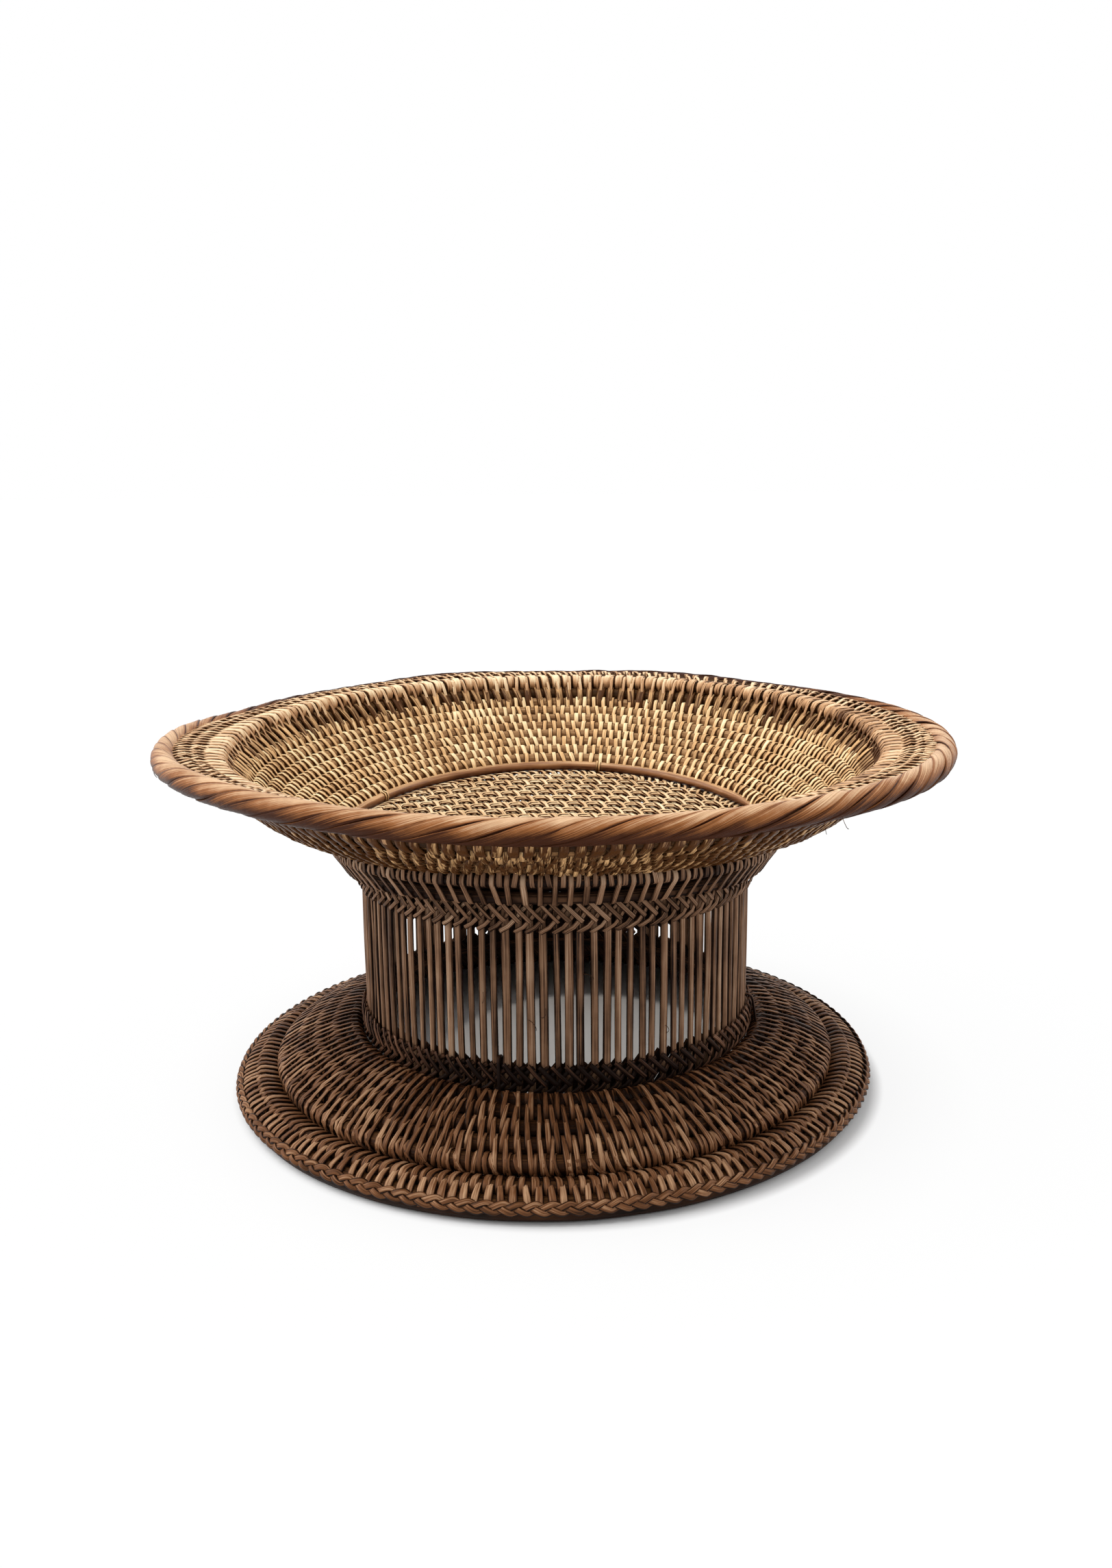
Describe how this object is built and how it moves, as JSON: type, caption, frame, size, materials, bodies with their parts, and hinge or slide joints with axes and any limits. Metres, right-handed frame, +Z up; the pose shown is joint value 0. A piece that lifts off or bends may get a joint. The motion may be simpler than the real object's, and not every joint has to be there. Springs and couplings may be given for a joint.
{
  "type": "wicker bowl",
  "caption": "Shallow round bowl of coiled cane with a flat ledge and a thick wrapped rim, on an open neck of upright splints and a domed coiled foot with a plaited edge.",
  "frame": {"origin": "on the ground, in the middle of the foot", "axes": "+Z up along the axis of the neck, front towards -Y, the bowl's sag at its left (-X) and right (+X)"},
  "size_m": [0.36, 0.36, 0.1676],
  "materials": {
    "rim_cane": "glossy split cane, warm brown",
    "ledge_cane": "split cane stitches, warm tan",
    "wall_cane": "coiled rods under split cane stitches, tan",
    "bare_rod": "bare peeled cane, honey brown",
    "core_rod": "dry round rattan, grey brown",
    "mat_cane": "open woven split cane, tan",
    "neck_cane": "split rattan with fibres, umber",
    "foot_cane": "coiled rods under split cane stitches, dark brown"
  },
  "bodies": {
    "root": {"rim_wrap": "rim_cane", "rim_core": "core_rod", "ledge_coil": "ledge_cane", "bead": "ledge_cane", "wall_coil": "wall_cane", "floor_mat": "mat_cane", "floor_hoop": "bare_rod", "upper_coil": "neck_cane", "lower_coil": "neck_cane", "top_coil": "neck_cane", "lacing": "neck_cane", "splints": "neck_cane", "upper_band": "neck_cane", "lower_band": "neck_cane", "inner_hoop": "neck_cane", "dome_coil": "foot_cane", "flange_coil": "foot_cane", "foot_edge": "foot_cane", "hoop_tie_1": "wall_cane", "hoop_tie_2": "wall_cane", "hoop_tie_3": "wall_cane", "hoop_tie_4": "wall_cane", "hoop_tie_5": "wall_cane", "foot_tie_1": "foot_cane", "foot_tie_2": "foot_cane", "foot_tie_3": "foot_cane", "foot_tie_4": "foot_cane"}
  },
  "joints": []
}
